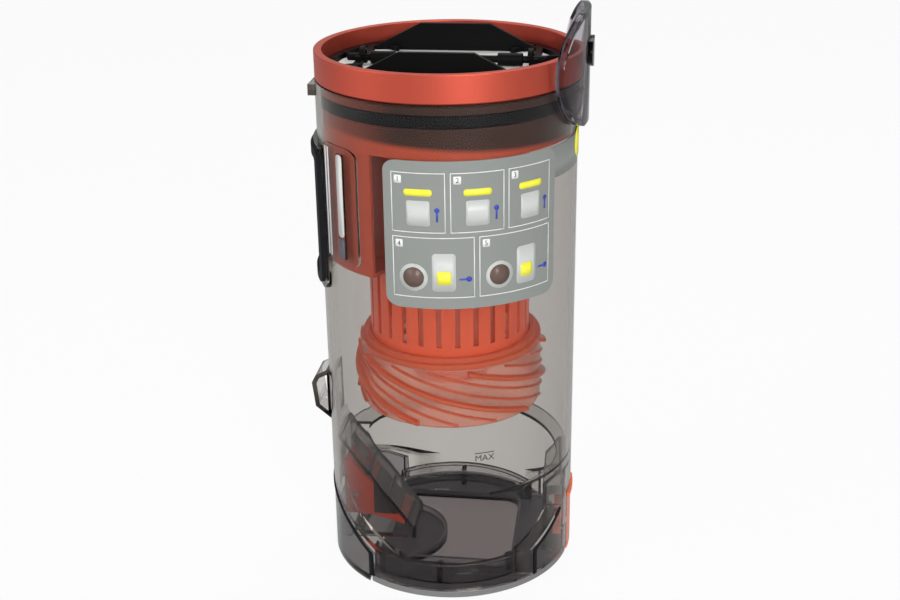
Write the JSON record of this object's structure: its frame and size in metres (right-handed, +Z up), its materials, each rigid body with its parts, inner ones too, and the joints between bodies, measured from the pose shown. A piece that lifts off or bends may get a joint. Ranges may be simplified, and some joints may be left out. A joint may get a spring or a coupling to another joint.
{
  "type": "cyclone dust bin",
  "caption": "Clear smoke dust bin of a stick vacuum with a red cyclone, filter cassette, hinged floor lid, lid button and release lever.",
  "frame": {"origin": "on the bin's axis at the floor it stands on", "axes": "+Z up along the bin's axis, +X to the latch and lever side, -Y to the front"},
  "size_m": [0.1308, 0.1163, 0.263],
  "materials": {
    "smoke_clear": "clear gloss",
    "smoke_dark": "clear gloss",
    "ring_red": "satin metallic",
    "cyclone_red": "gloss",
    "skirt_red": "translucent",
    "inner_dark": "satin",
    "rubber_black": "matt",
    "frame_black": "satin",
    "fleece_pale": "felt",
    "band_grey": "satin",
    "button_orange": "satin",
    "catch_red": "satin",
    "label_grey": "printed",
    "pin_steel": "turned"
  },
  "bodies": {
    "bin": {"container": "smoke_clear", "hinge_cover": "smoke_dark", "inlet_seal": "rubber_black", "instruction_label": "label_grey", "collar_ring": "ring_red", "cyclone_housing": "cyclone_red", "shroud_grille": "cyclone_red", "helix_skirt": "skirt_red", "inner_cone": "inner_dark", "cyclone_seal": "rubber_black", "rim_gasket": "rubber_black", "hinge_pin": "pin_steel", "button_pin": "pin_steel", "button_spring": "pin_steel", "lever_pin": "pin_steel", "lever_spring": "pin_steel", "catch_pin": "pin_steel", "catch_spring": "pin_steel"},
    "cassette": {"filter_frame": "frame_black", "cross_bar": "frame_black", "filter_fleece": "fleece_pale"},
    "lid": {"bottom_lid": "smoke_dark", "lid_rim_band": "band_grey", "lid_seal": "rubber_black"},
    "button": {"release_button": "button_orange"},
    "lever": {"release_lever": "smoke_clear"},
    "catch": {"bin_catch": "catch_red"}
  },
  "joints": [
    {"name": "lid_swing", "type": "hinge", "parent": "bin", "child": "lid", "pos_m": [-0.0464, 0, 0.0042], "axis": [0, 1, 0], "range_deg": [0, 88]},
    {"name": "button_press", "type": "hinge", "parent": "bin", "child": "button", "pos_m": [0.0536, 0, 0.016], "axis": [0, -1, 0], "range_deg": [0, 5], "stiffness_Nm_per_rad": 0.2, "deforming": ["button_spring"]},
    {"name": "lever_press", "type": "hinge", "parent": "bin", "child": "lever", "pos_m": [0.0594, 0, 0.228], "axis": [0, -1, 0], "range_deg": [0, 4], "stiffness_Nm_per_rad": 0.3, "deforming": ["lever_spring"]},
    {"name": "catch_click", "type": "hinge", "parent": "bin", "child": "catch", "pos_m": [-0.046, 0, 0.026], "axis": [0, 1, 0], "range_deg": [0, 4], "stiffness_Nm_per_rad": 0.3, "deforming": ["catch_spring"]},
    {"name": "filter_twist", "type": "hinge", "parent": "bin", "child": "cassette", "pos_m": [0, 0, 0.237], "axis": [0, 0, 1], "range_deg": [0, 30]}
  ]
}
